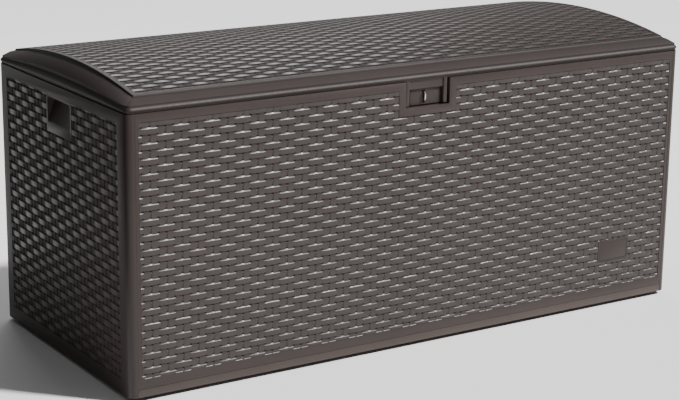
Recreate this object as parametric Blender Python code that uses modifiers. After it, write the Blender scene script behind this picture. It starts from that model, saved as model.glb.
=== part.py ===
"""Deck storage box: five moulded resin panels on feet, with a domed lid on three butt hinges.

Metres, +Z up, +X along the length, -Y towards the front.  The box stands on z = 0 and is centred
in X and in Y, hinge barrels included.
"""
import math

import bmesh
import bpy
from mathutils import Matrix, Vector

# Overall sizes
LENGTH = 1.500                 # end face to end face
DEPTH = 0.660                  # front face to back face
WALL_HEIGHT = 0.614            # bottom edge of the walls to the lid seam
FOOT_HEIGHT = 0.010            # clear height under the walls

# Walls
WALL = 0.026                   # thickness of a hollow panel
SKIN = 0.0022                  # thickness of the moulded skins and webs
POST = 0.018                   # width of the end panels' corner posts, seen from the front
CORNER_RADIUS = 0.017          # rounding of the upright corners
SKIRT = 0.018                  # height of the floor panel's edge
RIM_SOLID = 0.016              # solid band under the top edge of a wall
BAY_PITCH = 0.145              # longest hollow bay in a wall
TONGUE = 0.006                 # how far a wall's tongue enters the corner post
TONGUE_THICK = 0.005
TONGUE_END = 0.040             # the tongue stops this far from the wall's ends
PLUG_HEIGHT = 0.012            # floor blocks that stand in the walls' bays
RELIEF = 0.0030                # depth of the sunk fields that hold the wicker relief
GAP = 0.0003                   # between pieces that touch
PLAY = 0.001                   # between pieces that are assembled loosely

# Sunk wicker fields: distances from the panel's edges to the field
LONG_FIELD_SIDE = 0.027        # from the end faces, on the front and the back
LONG_FIELD_FOOT = 0.040        # from the walls' bottom edge
LONG_FIELD_HEAD = 0.019        # from the lid seam
END_FIELD_SIDE = 0.045         # from the front and back faces, on the ends
END_FIELD_FOOT = 0.033
END_FIELD_HEAD = 0.024
LID_FIELD_STRIP = 0.011        # plain strip between the dome's edge and its field
FIELD_WALL = 0.0005            # run of the sloping step round the lid's field

# Hand scoops in the end panels
SCOOP_WIDTH = 0.116
SCOOP_HEIGHT = 0.058
SCOOP_DEPTH = 0.0195
SCOOP_DROP = 0.030             # lid seam down to the scoop's upper edge
SCOOP_MARGIN = 0.012           # solid material around a scoop
SCOOP_CORNER = 0.006
SCOOP_PLAIN_SIDE = 0.006       # plain surface left and right of a scoop
SCOOP_PLAIN_FOOT = 0.021       # and under it

# Lid
SEAM = 0.001                   # gap between walls and lid
LID_EDGE_RISE = 0.0327         # lid bottom to the edge of the dome, front and back
LID_CROWN_RISE = 0.0617        # lid bottom to the top of the dome
LID_SKIN = 0.0028             # outer shell
LID_CORNER = 0.024             # plan radius of the lid's corners
LINER_THICK = 0.012
LINER_SKIN = 0.003
LINER_BAND = 0.038             # flat border of the liner
LINER_RIB = 0.008
LINER_COLUMNS = 6
LINER_ROWS = 2
DRIP_DROP = 0.007              # the liner's drip edge reaches this far below the lid bottom
DRIP_THICK = 0.003
DRIP_CLEAR = 0.0035            # drip edge to the walls' inner faces
# Lid skirt, bottom to dome edge: share of the local rise, distance in from the outer face
LID_PROFILE = ((0.0, 0.0015), (0.10, 0.0015), (0.16, 0.0), (0.46, 0.0), (0.62, 0.0055), (0.80, 0.0175),
               (1.0, 0.030))

# Hinges
HINGE_COUNT = 3
HINGE_INSET = 0.170            # end face to the middle of an outer hinge
LEAF_LENGTH = 0.076
LEAF_REACH = 0.020             # leaf, from the back face towards the front
LEAF_THICK = 0.0024
BARREL_RADIUS = 0.0050
BARREL_STANDOFF = 0.0004       # barrel to the back face
PIN_RADIUS = 0.0022
PIN_CLEAR = 0.0003
KNUCKLE_GAP = 0.0006
PIN_HEAD = 0.0016
PIN_HEAD_RADIUS = 0.0040

# Screws
SCREW_RADIUS = 0.0017
SCREW_HEAD_RADIUS = 0.0034
SCREW_HEAD_DEPTH = 0.0017
SCREW_LENGTH = 0.011
LEAF_SCREW_SPACING = 0.046
LEAF_SCREW_INSET = 0.0117      # back face to the line of a leaf's screws
LEAF_CORNER = 0.003

# Latch: a pocket in the front wall, a hasp on the lid, a lock boss and a padlock staple
POCKET_WIDTH = 0.120
POCKET_HEIGHT = 0.060
POCKET_DEPTH = 0.018
POCKET_CORNER = 0.004
POCKET_PLAIN = 0.018           # plain surface round the pocket
HASP_LEG = 0.0105
HASP_THICK = 0.013
HASP_INSET = 0.0025            # front face to the hasp's legs
HASP_WIDTH = 0.113
HASP_SHIFT = -0.002            # the hasp sits a little to the left in its pocket
HASP_LEG_LENGTH = 0.056
HASP_BRIDGE = 0.019            # height of the bridge below the lid seam
HASP_BRIDGE_INSET = 0.0055
HASP_FLANGE_THICK = 0.003
HASP_CORNER = 0.002
HASP_SCREW_INSET = 0.0054      # inner end of the flange to its screws
BOSS_WIDTH = 0.084
BOSS_DROP = 0.0205             # lid seam to the top of the lock boss
BOSS_HEIGHT = 0.0365
BOSS_THICK = 0.0070
SLOT_WIDTH = 0.0085
SLOT_HEIGHT = 0.0300
SLOT_DEPTH = 0.0050
SLOT_SHIFT = -0.006            # the slot sits left of the middle
BOSS_CORNER = 0.003
STAPLE_WIRE = 0.0017           # wire radius
STAPLE_HEIGHT = 0.0190         # between the two legs' centre lines
STAPLE_TOP_DROP = 0.0275       # lid seam to the upper leg
STAPLE_INSET = 0.0030          # front face to the loop's centre line
STAPLE_BEND = 0.0055
BOSS_SCREW_SPACING = 0.060
BOSS_SCREW_HEAD = 0.0038
BOSS_SCREW_HEAD_DEPTH = 0.0020
BOSS_SCREW_BITE = 0.0040       # thread length in the boss

# Blank badge in the front wall's lower right
BADGE_WIDTH = 0.086
BADGE_HEIGHT = 0.046
BADGE_THICK = 0.0018
BADGE_CORNER = 0.006
BADGE_PLAIN = 0.004            # plain surface round the badge
BADGE_X = 0.570
BADGE_Z = 0.133                # above the walls' bottom edge

# Feet
FOOT_RADIUS = 0.020
FOOT_INSET_X = 0.140           # end face to a foot's centre
FOOT_INSET_Y = 0.045
FOOT_STUD_RADIUS = 0.0055
FOOT_STUD_LENGTH = 0.010
FOOT_BOSS_RADIUS = 0.011
FOOT_CHAMFER = 0.0015
FLOOR_SKIN = 0.0032
FLOOR_RIB = 0.004
FLOOR_COLUMNS = 8
FLOOR_ROWS = 4

# Levels and faces that follow from them, in the box's own centred coordinates
HINGE_PROUD = BARREL_STANDOFF + 2.0 * BARREL_RADIUS
END_X = LENGTH / 2.0
FACE_Y = DEPTH / 2.0
BOTTOM_Z = FOOT_HEIGHT
SKIRT_Z = BOTTOM_Z + SKIRT
SEAM_Z = BOTTOM_Z + WALL_HEIGHT
LID_Z = SEAM_Z + SEAM
INNER_X = END_X - WALL
INNER_Y = FACE_Y - WALL
SPAN_X = END_X - POST - GAP    # half length of floor, front and back panels
AXIS_Y = FACE_Y + BARREL_STANDOFF + BARREL_RADIUS
AXIS_Z = SEAM_Z + SEAM / 2.0

UPSIDE_DOWN = (math.pi, 0.0, 0.0)

RESIN = (0.115, 0.098, 0.088)
RESIN_DARK = (0.070, 0.058, 0.052)
STEEL = (0.62, 0.63, 0.64)


def clear_scene():
    for obj in list(bpy.data.objects):
        bpy.data.objects.remove(obj, do_unlink=True)


def make_collection(name):
    collection = bpy.data.collections.new(name)
    bpy.context.scene.collection.children.link(collection)
    return collection


def make_material(name, color, roughness, metallic=0.0):
    material = bpy.data.materials.new(name)
    material.use_nodes = True
    shader = material.node_tree.nodes["Principled BSDF"]
    shader.inputs["Base Color"].default_value = (*color, 1.0)
    shader.inputs["Roughness"].default_value = roughness
    shader.inputs["Metallic"].default_value = metallic
    return material


def make_empty(name, location):
    empty = bpy.data.objects.new(name, None)
    empty.location = location
    PARTS.objects.link(empty)
    return empty


def resin(name):
    return make_material(name, RESIN, 0.50)


def dark_resin(name):
    return make_material(name, RESIN_DARK, 0.50)


def steel(name):
    return make_material(name, STEEL, 0.28, metallic=1.0)


def add_box(mesh, low, high):
    """Add a box between two corners and return its vertices."""
    low, high = Vector(low), Vector(high)
    size = high - low
    matrix = Matrix.Translation((low + high) / 2.0) @ Matrix.Diagonal((*size, 1.0))
    return bmesh.ops.create_cube(mesh, size=1.0, matrix=matrix)["verts"]


def add_cylinder(mesh, start, end, radius, end_radius=None, segments=12):
    """Add a capped cylinder or cone from one point to another."""
    start, end = Vector(start), Vector(end)
    along = end - start
    turn = along.to_track_quat("Z", "Y").to_matrix().to_4x4()
    matrix = Matrix.Translation((start + end) / 2.0) @ turn
    if end_radius is None:
        end_radius = radius
    bmesh.ops.create_cone(mesh, cap_ends=True, segments=segments, radius1=radius, radius2=end_radius,
                          depth=along.length, matrix=matrix)


def round_edges(mesh, verts, axis, radius, segments, test=None):
    """Bevel the edges of some vertices that run along one axis."""
    edges = []
    for edge in {edge for vert in verts for edge in vert.link_edges}:
        along = edge.verts[1].co - edge.verts[0].co
        middle = (edge.verts[0].co + edge.verts[1].co) / 2.0
        if abs(along.normalized()[axis]) > 0.999 and (test is None or test(middle)):
            edges.append(edge)
    bmesh.ops.bevel(mesh, geom=edges, offset=radius, offset_type="OFFSET", segments=segments,
                    profile=0.5, affect="EDGES")


def finish(name, mesh, material, parent, origin=(0.0, 0.0, 0.0), collection=None):
    """Turn a mesh drawn in the box's coordinates into an object with its own origin."""
    origin = Vector(origin)
    bmesh.ops.translate(mesh, verts=mesh.verts, vec=-origin)
    bmesh.ops.recalc_face_normals(mesh, faces=mesh.faces)
    data = bpy.data.meshes.new(name)
    mesh.to_mesh(data)
    mesh.free()
    obj = bpy.data.objects.new(name, data)
    if material is not None:
        data.materials.append(material)
    (collection or PARTS).objects.link(obj)
    obj.parent = parent
    obj.location = origin - (parent.location - BODY.location)
    return obj


def finish_cutter(name, mesh, parent=None):
    cutter = finish(name, mesh, None, parent or BODY, collection=CUTTERS)
    cutter.hide_render = True
    cutter.display_type = "WIRE"
    return cutter


def sink_field(wall, low, high, islands):
    """Sink the field between two corners of a wall's outer face, but for some islands."""
    mesh = bmesh.new()
    add_box(mesh, low, high)
    field = finish_cutter(wall.name + "_field", mesh)
    for number, (island_low, island_high) in enumerate(islands):
        mesh = bmesh.new()
        add_box(mesh, island_low, island_high)
        combine(field, finish_cutter("%s_island_%d" % (wall.name, number + 1), mesh))
    combine(wall, field)


def combine(obj, cutter, operation="DIFFERENCE"):
    modifier = obj.modifiers.new(cutter.name, "BOOLEAN")
    modifier.operation = operation
    modifier.solver = "EXACT"
    modifier.object = cutter


def shade_round(obj, angle=40.0):
    obj.data.shade_smooth()
    obj.data.set_sharp_from_angle(angle=math.radians(angle))


def spread(count, half_width):
    """Evenly spaced positions from -half_width to +half_width."""
    if count == 1:
        return [0.0]
    return [half_width * (2.0 * index / (count - 1) - 1.0) for index in range(count)]


def bays(half_length, pitch):
    """Divide a wall into equal hollow bays with one skin thickness of web between them."""
    count = max(1, math.ceil(2.0 * half_length / pitch))
    step = 2.0 * half_length / count
    spans = []
    for index in range(count):
        low = -half_length + index * step + SKIN / 2.0
        spans.append((low, low + step - SKIN))
    return spans


def long_bays():
    return bays(SPAN_X - SKIN, BAY_PITCH)


def rim_notches(mesh, side, positions):
    """Recesses in a wall's top edge for the hinges' lower leaves."""
    for x in positions:
        half = LEAF_LENGTH / 2.0 + GAP
        inner = side * (FACE_Y - LEAF_REACH - GAP)
        outer = side * (FACE_Y + WALL)
        low = (x - half, min(inner, outer), SEAM_Z - LEAF_THICK - GAP)
        high = (x + half, max(inner, outer), SEAM_Z + WALL)
        add_box(mesh, low, high)


def hinge_positions():
    return spread(HINGE_COUNT, END_X - HINGE_INSET)


def leaf_screw_places():
    """Screw positions of every hinge leaf, as (hinge number, side name, x, y)."""
    places = []
    for number, x in enumerate(hinge_positions()):
        for name, offset in (("left", -LEAF_SCREW_SPACING / 2.0), ("right", LEAF_SCREW_SPACING / 2.0)):
            places.append((number, name, x + offset, FACE_Y - LEAF_SCREW_INSET))
    return places


def hollow_span(side, face):
    """The hollow between a wall's inner skin and the skin under its sunk field."""
    return sorted((side * (face - WALL + SKIN), side * (face - RELIEF - SKIN)))


def make_long_wall(name, side):
    """Front wall (side -1) or back wall (side +1): a hollow panel between the corner posts."""
    mesh = bmesh.new()
    inner, outer = side * INNER_Y, side * FACE_Y
    low = (-SPAN_X, min(inner, outer), SKIRT_Z + GAP)
    high = (SPAN_X, max(inner, outer), SEAM_Z)
    add_box(mesh, low, high)
    wall = finish(name, mesh, resin(name), BODY, (0.0, side * (FACE_Y - WALL / 2.0), SKIRT_Z + GAP))

    mesh = bmesh.new()
    middle = side * (FACE_Y - WALL / 2.0)
    for sign in (-1.0, 1.0):
        root, tip = sign * (SPAN_X - SKIN / 2.0), sign * (SPAN_X + TONGUE)
        low = (min(root, tip), middle - TONGUE_THICK / 2.0, SKIRT_Z + TONGUE_END)
        high = (max(root, tip), middle + TONGUE_THICK / 2.0, SEAM_Z - TONGUE_END)
        add_box(mesh, low, high)
    combine(wall, finish_cutter(name + "_tongues", mesh), "UNION")

    mesh = bmesh.new()
    low_y, high_y = hollow_span(side, FACE_Y)
    pocket_half = POCKET_WIDTH / 2.0 + SKIN
    for low_x, high_x in long_bays():
        top = SEAM_Z - RIM_SOLID
        if side < 0 and high_x > -pocket_half and low_x < pocket_half:
            top = SEAM_Z - POCKET_HEIGHT - SKIN
        add_box(mesh, (low_x, low_y, BOTTOM_Z), (high_x, high_y, top))
    combine(wall, finish_cutter(name + "_bays", mesh))

    near, far = sorted((side * (FACE_Y - RELIEF), side * (FACE_Y + WALL)))
    half = END_X - LONG_FIELD_SIDE
    badge_z = BOTTOM_Z + BADGE_Z
    islands = []
    if side < 0:
        plain_half, plain_foot = POCKET_WIDTH / 2.0 + POCKET_PLAIN, SEAM_Z - POCKET_HEIGHT - POCKET_PLAIN
        islands.append(((-plain_half, near - WALL, plain_foot), (plain_half, far + WALL, SEAM_Z + WALL)))
        half_x, half_z = BADGE_WIDTH / 2.0 + BADGE_PLAIN, BADGE_HEIGHT / 2.0 + BADGE_PLAIN
        islands.append(((BADGE_X - half_x, near - WALL, badge_z - half_z),
                        (BADGE_X + half_x, far + WALL, badge_z + half_z)))
    low = (-half, near, BOTTOM_Z + LONG_FIELD_FOOT)
    sink_field(wall, low, (half, far, SEAM_Z - LONG_FIELD_HEAD), islands)
    return wall


def make_front_panel():
    wall = make_long_wall("front_panel", -1.0)
    mesh = bmesh.new()
    half = POCKET_WIDTH / 2.0
    low = (-half, -FACE_Y - WALL, SEAM_Z - POCKET_HEIGHT)
    verts = add_box(mesh, low, (half, -FACE_Y + POCKET_DEPTH, SEAM_Z + WALL))
    round_edges(mesh, verts, 1, POCKET_CORNER, 2, lambda middle: middle.z < SEAM_Z)
    combine(wall, finish_cutter("latch_pocket_cutter", mesh))

    mesh = bmesh.new()
    badge_z = BOTTOM_Z + BADGE_Z
    low = (BADGE_X - BADGE_WIDTH / 2.0 - GAP, -FACE_Y - WALL, badge_z - BADGE_HEIGHT / 2.0 - GAP)
    high = (BADGE_X + BADGE_WIDTH / 2.0 + GAP, -FACE_Y + BADGE_THICK, badge_z + BADGE_HEIGHT / 2.0 + GAP)
    verts = add_box(mesh, low, high)
    round_edges(mesh, verts, 1, BADGE_CORNER, 3)
    combine(wall, finish_cutter("badge_recess_cutter", mesh))

    mesh = bmesh.new()
    for x in boss_screw_x():
        start = (x, -FACE_Y + POCKET_DEPTH - WALL, boss_screw_z())
        add_cylinder(mesh, start, (x, -INNER_Y + WALL, boss_screw_z()), SCREW_RADIUS + GAP)
    combine(wall, finish_cutter("boss_screw_holes", mesh))
    return wall


def make_back_panel():
    wall = make_long_wall("back_panel", 1.0)
    mesh = bmesh.new()
    rim_notches(mesh, 1.0, hinge_positions())
    combine(wall, finish_cutter("hinge_recesses", mesh))
    mesh = bmesh.new()
    for _, _, x, y in leaf_screw_places():
        add_screw_hole(mesh, x, y, SEAM_Z, -1.0)
    combine(wall, finish_cutter("leaf_screw_holes", mesh))
    return wall


def make_end_panel(name, side):
    """Left (side -1) or right (side +1) end: a hollow slab that carries the two corner posts."""
    mesh = bmesh.new()
    inner, outer = side * INNER_X, side * END_X
    verts = add_box(mesh, (min(inner, outer), -FACE_Y, BOTTOM_Z), (max(inner, outer), FACE_Y, SEAM_Z))
    round_edges(mesh, verts, 2, CORNER_RADIUS, 8, lambda middle: middle.x * side > INNER_X + WALL / 2.0)
    wall = finish(name, mesh, resin(name), BODY, (side * (END_X - WALL / 2.0), 0.0, BOTTOM_Z))

    # Steps that the front, back and floor panels fit into
    mesh = bmesh.new()
    step = END_X - POST
    far = INNER_X - WALL
    for sign in (-1.0, 1.0):
        near, rim = sign * (INNER_Y - GAP), sign * (FACE_Y + WALL)
        low = (min(side * far, side * step), min(near, rim), BOTTOM_Z - WALL)
        high = (max(side * far, side * step), max(near, rim), SEAM_Z + WALL)
        add_box(mesh, low, high)
    combine(wall, finish_cutter(name + "_wall_steps", mesh))
    mesh = bmesh.new()
    low = (min(side * far, side * step), -FACE_Y - WALL, BOTTOM_Z - WALL)
    high = (max(side * far, side * step), FACE_Y + WALL, SKIRT_Z + GAP)
    add_box(mesh, low, high)
    combine(wall, finish_cutter(name + "_floor_step", mesh))

    # Grooves for the tongues of the long walls
    mesh = bmesh.new()
    middle = FACE_Y - WALL / 2.0
    for sign in (-1.0, 1.0):
        near, deep = side * (step - WALL / 2.0), side * (SPAN_X + TONGUE + PLAY)
        half = TONGUE_THICK / 2.0 + GAP
        low = (min(near, deep), sign * middle - half, SKIRT_Z + TONGUE_END - PLAY)
        high = (max(near, deep), sign * middle + half, SEAM_Z - TONGUE_END + PLAY)
        add_box(mesh, low, high)
    combine(wall, finish_cutter(name + "_grooves", mesh))

    # Hollow bays, lower under the hand scoop
    mesh = bmesh.new()
    low_x, high_x = hollow_span(side, END_X)
    scoop_half = SCOOP_WIDTH / 2.0 + SCOOP_MARGIN
    for low_y, high_y in bays(INNER_Y - 2.0 * SKIN, BAY_PITCH):
        top = SEAM_Z - RIM_SOLID
        if high_y > -scoop_half and low_y < scoop_half:
            top = SEAM_Z - SCOOP_DROP - SCOOP_HEIGHT - SCOOP_MARGIN
        add_box(mesh, (low_x, low_y, BOTTOM_Z - WALL), (high_x, high_y, top))
    combine(wall, finish_cutter(name + "_bays", mesh))

    near, far = sorted((side * (END_X - RELIEF), side * (END_X + WALL)))
    half = FACE_Y - END_FIELD_SIDE
    plain_half = SCOOP_WIDTH / 2.0 + SCOOP_PLAIN_SIDE
    plain_foot = SEAM_Z - SCOOP_DROP - SCOOP_HEIGHT - SCOOP_PLAIN_FOOT
    islands = [((near - WALL, -plain_half, plain_foot), (far + WALL, plain_half, SEAM_Z + WALL))]
    low = (near, -half, BOTTOM_Z + END_FIELD_FOOT)
    sink_field(wall, low, (far, half, SEAM_Z - END_FIELD_HEAD), islands)
    combine(wall, make_scoop_cutter(name + "_scoop", side))
    return wall


def make_scoop_cutter(name, side):
    """Wedge-shaped scoop: deepest under its upper edge, running out to nothing at the bottom."""
    mesh = bmesh.new()
    top = SEAM_Z - SCOOP_DROP
    half = SCOOP_WIDTH / 2.0
    verts = add_box(mesh, (-WALL, -half, top - SCOOP_HEIGHT), (SCOOP_DEPTH, half, top))
    for vert in verts:
        if vert.co.x > 0.0 and vert.co.z < top - SCOOP_HEIGHT / 2.0:
            vert.co.x = 0.0
    round_edges(mesh, verts, 0, SCOOP_CORNER, 2)
    for vert in mesh.verts:
        vert.co.x = side * (END_X - vert.co.x)
    return finish_cutter(name, mesh)


def foot_places():
    places = []
    for x_name, x in (("left", -END_X + FOOT_INSET_X), ("right", END_X - FOOT_INSET_X)):
        for y_name, y in (("front", -FACE_Y + FOOT_INSET_Y), ("back", FACE_Y - FOOT_INSET_Y)):
            places.append(("foot_%s_%s" % (y_name, x_name), x, y))
    return places


def make_floor_panel():
    """Ribbed floor whose edges show as a skirt, with blocks that stand in the long walls' bays."""
    mesh = bmesh.new()
    add_box(mesh, (-SPAN_X, -FACE_Y, BOTTOM_Z), (SPAN_X, FACE_Y, SKIRT_Z))
    floor = finish("floor_panel", mesh, dark_resin("floor_panel"), BODY, (0.0, 0.0, BOTTOM_Z))

    mesh = bmesh.new()
    for low_x, high_x in long_bays():
        for side in (-1.0, 1.0):
            low_y, high_y = hollow_span(side, FACE_Y)
            low = (low_x + PLAY, low_y + PLAY, SKIRT_Z - FLOOR_SKIN / 2.0)
            add_box(mesh, low, (high_x - PLAY, high_y - PLAY, SKIRT_Z + PLUG_HEIGHT))
    combine(floor, finish_cutter("floor_blocks", mesh), "UNION")

    mesh = bmesh.new()
    step_x = 2.0 * SPAN_X / FLOOR_COLUMNS
    step_y = DEPTH / FLOOR_ROWS
    for column in range(FLOOR_COLUMNS):
        for row in range(FLOOR_ROWS):
            low_x = -SPAN_X + column * step_x
            low_y = -FACE_Y + row * step_y
            low = (low_x + FLOOR_RIB / 2.0, low_y + FLOOR_RIB / 2.0, BOTTOM_Z - WALL)
            high = (low_x + step_x - FLOOR_RIB / 2.0, low_y + step_y - FLOOR_RIB / 2.0, SKIRT_Z - FLOOR_SKIN)
            add_box(mesh, low, high)
    combine(floor, finish_cutter("floor_bays", mesh))

    mesh = bmesh.new()
    for _, x, y in foot_places():
        end = (x, y, SKIRT_Z - FLOOR_SKIN / 2.0)
        add_cylinder(mesh, (x, y, BOTTOM_Z), end, FOOT_BOSS_RADIUS, segments=16)
    combine(floor, finish_cutter("foot_bosses", mesh), "UNION")
    mesh = bmesh.new()
    for _, x, y in foot_places():
        start = (x, y, BOTTOM_Z - WALL)
        add_cylinder(mesh, start, (x, y, BOTTOM_Z + FOOT_STUD_LENGTH + GAP), FOOT_STUD_RADIUS + GAP)
    combine(floor, finish_cutter("foot_holes", mesh))
    return floor


def turned(name, profile, material, parent, origin, turn=None, segments=16):
    """A turned piece: (radius, height) points from the top of the axis down its outer side."""
    mesh = bmesh.new()
    verts = [mesh.verts.new((radius, 0.0, height)) for radius, height in profile]
    for first, second in zip(verts, verts[1:]):
        mesh.edges.new((first, second))
    data = bpy.data.meshes.new(name)
    mesh.to_mesh(data)
    mesh.free()
    obj = bpy.data.objects.new(name, data)
    data.materials.append(material)
    PARTS.objects.link(obj)
    obj.parent = parent
    obj.location = Vector(origin) - (parent.location - BODY.location)
    if turn is not None:
        obj.rotation_euler = turn
    screw = obj.modifiers.new("turn", "SCREW")
    screw.axis = "Z"
    screw.steps = segments
    screw.render_steps = segments
    screw.use_merge_vertices = True
    screw.merge_threshold = 0.00001
    screw.use_smooth_shade = True
    return obj


def make_feet():
    top = FOOT_HEIGHT - GAP
    stud_top = top + FOOT_STUD_LENGTH
    profile = ((0.0, stud_top), (FOOT_STUD_RADIUS, stud_top), (FOOT_STUD_RADIUS, top), (FOOT_RADIUS, top),
               (FOOT_RADIUS, FOOT_CHAMFER), (FOOT_RADIUS - FOOT_CHAMFER, 0.0), (0.0, 0.0))
    for name, x, y in foot_places():
        turned(name, profile, make_material(name, (0.03, 0.03, 0.03), 0.7), BODY, (x, y, 0.0), segments=20)


def lid_rise(y):
    """Height of the dome's edge above the lid bottom at a distance from the centre line."""
    half = FACE_Y - LID_PROFILE[-1][1]
    return LID_CROWN_RISE - (LID_CROWN_RISE - LID_EDGE_RISE) * min(abs(y) / half, 1.0) ** 2


def lid_half_ring(inset, end_steps=12, corner_steps=4):
    """Right half of a rounded rectangle, from the front's middle round to the back's."""
    radius = max(LID_CORNER - inset, 0.004)
    centre_x = END_X - inset - radius
    centre_y = FACE_Y - inset - radius
    points = []
    for index in range(corner_steps + 1):
        angle = -math.pi / 2.0 + index * math.pi / 2.0 / corner_steps
        points.append((centre_x + radius * math.cos(angle), -centre_y + radius * math.sin(angle)))
    for index in range(1, end_steps):
        points.append((END_X - inset, centre_y * (2.0 * index / end_steps - 1.0)))
    for index in range(corner_steps + 1):
        angle = index * math.pi / 2.0 / corner_steps
        points.append((centre_x + radius * math.cos(angle), centre_y + radius * math.sin(angle)))
    return points


def make_lid_shell():
    """Outer skin of the lid: a skirt with a bead and a cove, closed by a dome that is straight in X."""
    mesh = bmesh.new()
    edge = LID_PROFILE[-1][1]
    field = edge + LID_FIELD_STRIP
    levels = [(share, inset, 0.0) for share, inset in LID_PROFILE]
    levels += [(1.0, field, 0.0), (1.0, field + FIELD_WALL, RELIEF)]
    rings = []
    for share, inset, drop in levels:
        half = lid_half_ring(inset)
        plan = half + [(-x, y) for x, y in reversed(half)]
        rings.append([mesh.verts.new((x, y, LID_Z + share * lid_rise(y) - drop)) for x, y in plan])
    for lower, upper in zip(rings, rings[1:]):
        for index in range(len(lower)):
            after = (index + 1) % len(lower)
            mesh.faces.new((lower[index], lower[after], upper[after], upper[index]))
    top = rings[-1]
    for index in range(len(top) // 2 - 1):
        mesh.faces.new((top[index], top[index + 1], top[-2 - index], top[-1 - index]))
    shell = finish("lid_shell", mesh, resin("lid_shell"), LID, AXIS)
    solidify = shell.modifiers.new("skin", "SOLIDIFY")
    solidify.thickness = LID_SKIN
    solidify.offset = -1.0
    solidify.use_even_offset = True
    shade_round(shell, 50.0)

    mesh = bmesh.new()
    add_leaf_notches(mesh)
    combine(shell, finish_cutter("lid_shell_hinge_notches", mesh, LID))
    return shell


def add_leaf_notches(mesh):
    for x in hinge_positions():
        half = LEAF_LENGTH / 2.0 + GAP
        low = (x - half, FACE_Y - LEAF_REACH - GAP, LID_Z - WALL)
        add_box(mesh, low, (x + half, FACE_Y + WALL, LID_Z + LEAF_THICK + GAP))


def rounded_plan(mesh, half_x, half_y, low_z, high_z, radius, segments=4):
    verts = add_box(mesh, (-half_x, -half_y, low_z), (half_x, half_y, high_z))
    round_edges(mesh, verts, 2, radius, segments)


def make_lid_liner():
    """Flat inner panel of the lid, ribbed underneath, with a drip edge inside the walls."""
    inset = LID_PROFILE[0][1] + LID_SKIN + GAP
    mesh = bmesh.new()
    rounded_plan(mesh, END_X - inset, FACE_Y - inset, LID_Z, LID_Z + LINER_THICK, LID_CORNER - inset)
    liner = finish("lid_liner", mesh, dark_resin("lid_liner"), LID, AXIS)

    drip_x, drip_y = INNER_X - DRIP_CLEAR, INNER_Y - DRIP_CLEAR
    mesh = bmesh.new()
    add_box(mesh, (-drip_x, -drip_y, LID_Z - DRIP_DROP), (drip_x, drip_y, LID_Z + LINER_SKIN))
    combine(liner, finish_cutter("drip_edge", mesh, LID), "UNION")
    mesh = bmesh.new()
    in_x, in_y = drip_x - DRIP_THICK, drip_y - DRIP_THICK
    add_box(mesh, (-in_x, -in_y, LID_Z - WALL), (in_x, in_y, LID_Z))
    combine(liner, finish_cutter("drip_edge_inside", mesh, LID))

    mesh = bmesh.new()
    field_x, field_y = END_X - inset - LINER_BAND, FACE_Y - inset - LINER_BAND
    step_x, step_y = 2.0 * field_x / LINER_COLUMNS, 2.0 * field_y / LINER_ROWS
    for column in range(LINER_COLUMNS):
        for row in range(LINER_ROWS):
            low_x, low_y = -field_x + column * step_x, -field_y + row * step_y
            low = (low_x + LINER_RIB / 2.0, low_y + LINER_RIB / 2.0, LID_Z - LINER_THICK)
            high = (low_x + step_x - LINER_RIB / 2.0, low_y + step_y - LINER_RIB / 2.0,
                    LID_Z + LINER_THICK - LINER_SKIN)
            add_box(mesh, low, high)
    combine(liner, finish_cutter("liner_bays", mesh, LID))

    mesh = bmesh.new()
    add_leaf_notches(mesh)
    half = HASP_WIDTH / 2.0 + GAP
    low = (HASP_SHIFT - half, -FACE_Y - WALL, LID_Z - WALL)
    add_box(mesh, low, (HASP_SHIFT + half, -hasp_flange_end() + GAP, LID_Z + HASP_FLANGE_THICK + GAP))
    combine(liner, finish_cutter("liner_notches", mesh, LID))
    mesh = bmesh.new()
    for _, _, x, y in leaf_screw_places():
        add_screw_hole(mesh, x, y, LID_Z, 1.0)
    for x in hasp_screw_x():
        add_screw_hole(mesh, x, hasp_screw_y(), LID_Z, 1.0)
    combine(liner, finish_cutter("liner_screw_holes", mesh, LID))
    return liner


def add_countersink(mesh, x, y, face_z, inward):
    """Cone for a screw head that is flush with a face; inward is +1.0 for upwards, -1.0 for downwards."""
    narrow = SCREW_RADIUS + GAP
    wide = 2.0 * (SCREW_HEAD_RADIUS + GAP) - narrow
    start = (x, y, face_z - inward * SCREW_HEAD_DEPTH)
    add_cylinder(mesh, start, (x, y, face_z + inward * SCREW_HEAD_DEPTH), wide, narrow)


def add_screw_hole(mesh, x, y, face_z, inward):
    end = (x, y, face_z + inward * (SCREW_LENGTH + GAP))
    add_cylinder(mesh, (x, y, face_z), end, SCREW_RADIUS + GAP)


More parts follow.
